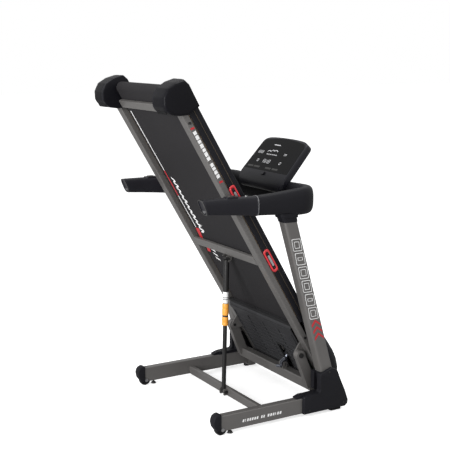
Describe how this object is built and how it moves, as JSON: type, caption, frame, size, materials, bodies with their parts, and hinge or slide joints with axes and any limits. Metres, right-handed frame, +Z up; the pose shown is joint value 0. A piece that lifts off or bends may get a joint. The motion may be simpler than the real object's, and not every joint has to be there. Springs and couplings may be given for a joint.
{
  "type": "folding treadmill",
  "caption": "Folding treadmill stored upright: a running deck swung up between leaning uprights on a floor frame, with a loop handlebar, a tilted console and a gas spring.",
  "frame": {"origin": "centre of the bounding box of the folded machine, on the floor", "axes": "+Z up; +Y the way the runner faces, from the rear ends of the floor rails to the motor hood; +X the runner's right"},
  "size_m": [0.8632, 1.0073, 1.6208],
  "materials": {
    "frame_paint": "satin",
    "plastic_black": "satin",
    "plastic_gloss": "semi-gloss",
    "rubber_black": "matte",
    "grip_rubber": "matte",
    "belt": "fine textured",
    "board": "waxed",
    "steel": "satin",
    "chrome": "polished",
    "aluminium": "satin",
    "cast_iron": "machined",
    "cushion_red": "satin",
    "cushion_block": "matte",
    "sleeve_yellow": "satin",
    "glass": "clear",
    "circuit": "satin",
    "key_red": "semi-gloss",
    "key_green": "semi-gloss",
    "key_grey": "semi-gloss"
  },
  "bodies": {
    "base": {"base_rails": "frame_paint", "uprights": "frame_paint", "base_crossbars": "frame_paint", "hinge_brackets": "frame_paint", "upright_covers": "plastic_black", "rail_end_caps": "plastic_black", "wheel_axles": "steel", "front_feet": "rubber_black", "base_fasteners": "steel", "handlebar_tube": "steel", "handlebar_shell": "plastic_black", "handlebar_grips": "grip_rubber", "handlebar_end_caps": "plastic_black", "upright_collars": "plastic_black", "console_housing": "plastic_gloss", "display_glass": "glass", "console_electronics": "circuit", "console_bracket": "frame_paint", "key_pods": "plastic_gloss"},
    "rear_wheel_right": {"rear_wheel_right": "rubber_black"},
    "rear_wheel_left": {"rear_wheel_left": "rubber_black"},
    "levelling_foot_right": {"levelling_foot_right": "steel"},
    "levelling_foot_left": {"levelling_foot_left": "steel"},
    "hinge_bushes": {"hinge_bushes": "steel"},
    "incline_frame": {"incline_frame": "frame_paint", "incline_frame_pins": "steel"},
    "deck": {"deck_side_rails": "frame_paint", "foot_rails": "plastic_black", "rear_end_caps": "plastic_black", "deck_crossbars": "frame_paint", "running_board": "board", "running_belt": "belt", "cushion_housings": "cushion_red", "deck_cushions": "cushion_block", "roller_mounts": "steel", "motor_hood": "plastic_black", "belly_tray": "plastic_black", "drive_motor": "cast_iron", "motor_plate": "frame_paint", "drive_belt": "belt", "controller_board": "circuit", "power_inlet": "plastic_black", "deck_bolts": "steel"},
    "rear_roller": {"rear_roller": "steel"},
    "front_roller": {"front_roller": "steel"},
    "motor_rotor": {"motor_rotor": "cast_iron"},
    "power_switch": {"power_switch": "key_red"},
    "spring_lower": {"spring_lower_tube": "frame_paint"},
    "spring_upper": {"spring_upper_tube": "frame_paint", "spring_sleeve": "sleeve_yellow"},
    "actuator_body": {"actuator_body": "plastic_black"},
    "actuator_screw": {"actuator_screw": "chrome"},
    "start_button": {"start_button": "key_green"},
    "stop_button": {"stop_button": "key_red"},
    "plus_button": {"plus_button": "key_grey"},
    "minus_button": {"minus_button": "key_grey"},
    "safety_key": {"safety_key": "key_red"},
    "speed_key": {"speed_key": "key_grey"},
    "incline_key": {"incline_key": "key_grey"}
  },
  "joints": [
    {"name": "fold_hinge", "type": "hinge", "parent": "base", "child": "hinge_bushes", "pos_m": [0, 0.3894, 0.08], "axis": [1, 0, 0], "range_deg": [0, 60.7]},
    {"name": "incline_hinge", "type": "hinge", "parent": "hinge_bushes", "child": "incline_frame", "pos_m": [0, 0.3894, 0.08], "axis": [-1, 0, 0], "range_deg": [0, 22]},
    {"name": "deck_hinge", "type": "hinge", "parent": "incline_frame", "child": "deck", "pos_m": [0, 0.2494, 0.28], "axis": [1, 0, 0], "range_deg": [0, 25.71]},
    {"name": "spring_foot_hinge", "type": "hinge", "parent": "base", "child": "spring_lower", "pos_m": [0, 0.0084, 0.042], "axis": [1, 0, 0], "range_deg": [0, 85.6]},
    {"name": "spring_slide", "type": "slide", "parent": "spring_lower", "child": "spring_upper", "axis": [0, 0.0244, 0.9997], "range_m": [-0.322, 0]},
    {"name": "actuator_hinge", "type": "hinge", "parent": "deck", "child": "actuator_body", "pos_m": [0.078, 0.40881, 0.30418], "axis": [1, 0, 0], "range_deg": [-10.7, 0]},
    {"name": "actuator_slide", "type": "slide", "parent": "actuator_body", "child": "actuator_screw", "axis": [0, -0.5385, -0.8427], "range_m": [0, 0.0499]},
    {"name": "front_roller_spin", "type": "hinge", "parent": "deck", "child": "front_roller", "pos_m": [0, 0.26774, 0.41955], "axis": [1, 0, 0], "continuous": true},
    {"name": "rear_roller_spin", "type": "hinge", "parent": "deck", "child": "rear_roller", "pos_m": [0, -0.40627, 1.56379], "axis": [1, 0, 0], "continuous": true},
    {"name": "motor_spin", "type": "hinge", "parent": "deck", "child": "motor_rotor", "pos_m": [0, 0.34735, 0.31789], "axis": [1, 0, 0], "continuous": true},
    {"name": "power_switch_rock", "type": "hinge", "parent": "deck", "child": "power_switch", "pos_m": [0.168, 0.46648, 0.09791], "axis": [1, 0, 0], "range_deg": [0, 8]},
    {"name": "rear_wheel_right_spin", "type": "hinge", "parent": "base", "child": "rear_wheel_right", "pos_m": [0.396, -0.2416, 0.03], "axis": [1, 0, 0], "continuous": true},
    {"name": "rear_wheel_left_spin", "type": "hinge", "parent": "base", "child": "rear_wheel_left", "pos_m": [-0.396, -0.2416, 0.03], "axis": [1, 0, 0], "continuous": true},
    {"name": "levelling_foot_right_screw", "type": "slide", "parent": "base", "child": "levelling_foot_right", "axis": [0, 0, 1], "range_m": [0, 0.008]},
    {"name": "levelling_foot_left_screw", "type": "slide", "parent": "base", "child": "levelling_foot_left", "axis": [0, 0, 1], "range_m": [0, 0.008]},
    {"name": "start_button_press", "type": "slide", "parent": "base", "child": "start_button", "axis": [0, 0.7455, -0.6665], "range_m": [0, 0.0012], "stiffness_N_per_m": 400, "springref_m": -0.001},
    {"name": "stop_button_press", "type": "slide", "parent": "base", "child": "stop_button", "axis": [0, 0.7455, -0.6665], "range_m": [0, 0.0012], "stiffness_N_per_m": 400, "springref_m": -0.001},
    {"name": "plus_button_press", "type": "slide", "parent": "base", "child": "plus_button", "axis": [0, 0.7455, -0.6665], "range_m": [0, 0.0012], "stiffness_N_per_m": 400, "springref_m": -0.001},
    {"name": "minus_button_press", "type": "slide", "parent": "base", "child": "minus_button", "axis": [0, 0.7455, -0.6665], "range_m": [0, 0.0012], "stiffness_N_per_m": 400, "springref_m": -0.001},
    {"name": "safety_key_pull", "type": "slide", "parent": "base", "child": "safety_key", "axis": [0, -0.7455, 0.6665], "range_m": [0, 0.02]},
    {"name": "speed_key_rock", "type": "hinge", "parent": "base", "child": "speed_key", "pos_m": [0.4, -0.1906, 1.1], "axis": [1, 0, 0], "range_deg": [-3, 3], "stiffness_Nm_per_rad": 0.3},
    {"name": "incline_key_rock", "type": "hinge", "parent": "base", "child": "incline_key", "pos_m": [-0.4, -0.1906, 1.1], "axis": [1, 0, 0], "range_deg": [-3, 3], "stiffness_Nm_per_rad": 0.3}
  ],
  "couplings": [
    {"joint": "deck_hinge", "follows": "incline_hinge", "ratio": 1.1683},
    {"joint": "actuator_hinge", "follows": "incline_hinge", "ratio": -0.48307},
    {"joint": "actuator_slide", "follows": "incline_hinge", "m_per_rad": 0.12966},
    {"joint": "spring_foot_hinge", "follows": "fold_hinge", "ratio": 1.4096},
    {"joint": "spring_slide", "follows": "fold_hinge", "m_per_rad": -0.30378},
    {"joint": "rear_roller_spin", "follows": "front_roller_spin", "ratio": 1},
    {"joint": "motor_spin", "follows": "front_roller_spin", "ratio": 2.4706}
  ]
}
